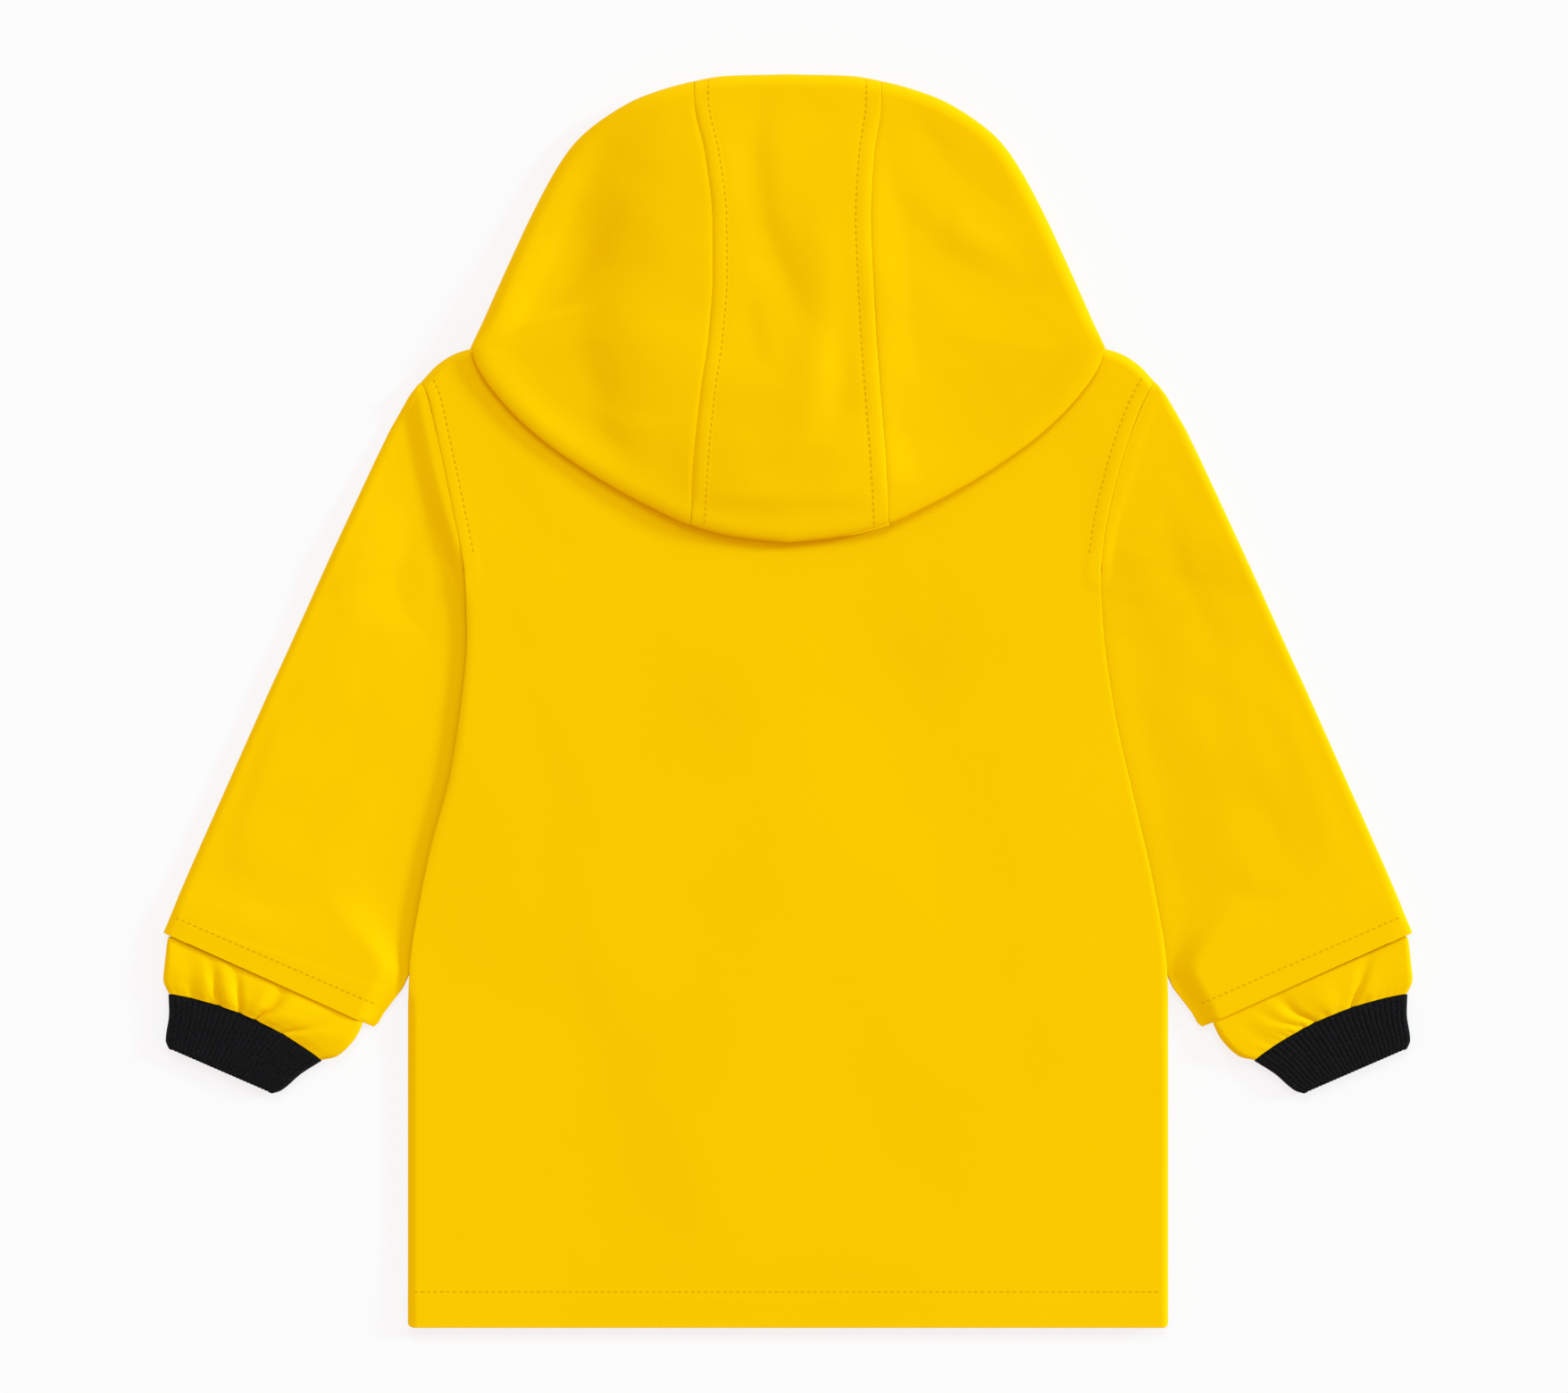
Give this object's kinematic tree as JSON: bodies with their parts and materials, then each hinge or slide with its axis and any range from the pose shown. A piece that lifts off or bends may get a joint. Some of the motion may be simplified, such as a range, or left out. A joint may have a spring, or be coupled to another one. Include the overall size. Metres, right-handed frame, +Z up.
{
  "type": "kids raincoat",
  "caption": "Child's hooded coated raincoat laid flat on its front, back up, hood raised, sleeves drawn down beside the body, with gathered inner cuffs that end in ribbed knit bands.",
  "frame": {"origin": "middle of the lying coat on the surface that it rests on", "axes": "+X across, from the wearer's left sleeve to the right one; +Y from the hem to the hood; +Z up from the surface, out of the coat's back"},
  "size_m": [0.6028, 0.6036, 0.0178],
  "materials": {
    "coated_cloth": "warm yellow coated cloth, fine matt sheen",
    "rib_knit": "near-black ribbed knit, matt",
    "press_stud": "yellow enamel, satin"
  },
  "bodies": {
    "root": {"back_panel": "coated_cloth", "front_left": "coated_cloth", "front_right": "coated_cloth", "sleeve_left": "coated_cloth", "sleeve_right": "coated_cloth", "inner_cuff_left": "coated_cloth", "inner_cuff_right": "coated_cloth", "hood_middle": "coated_cloth", "hood_side_left": "coated_cloth", "hood_side_right": "coated_cloth", "rib_cuff_left": "rib_knit", "rib_cuff_right": "rib_knit", "press_stud_1": "press_stud", "press_stud_2": "press_stud", "press_stud_3": "press_stud", "press_stud_4": "press_stud", "press_stud_5": "press_stud"}
  },
  "joints": []
}
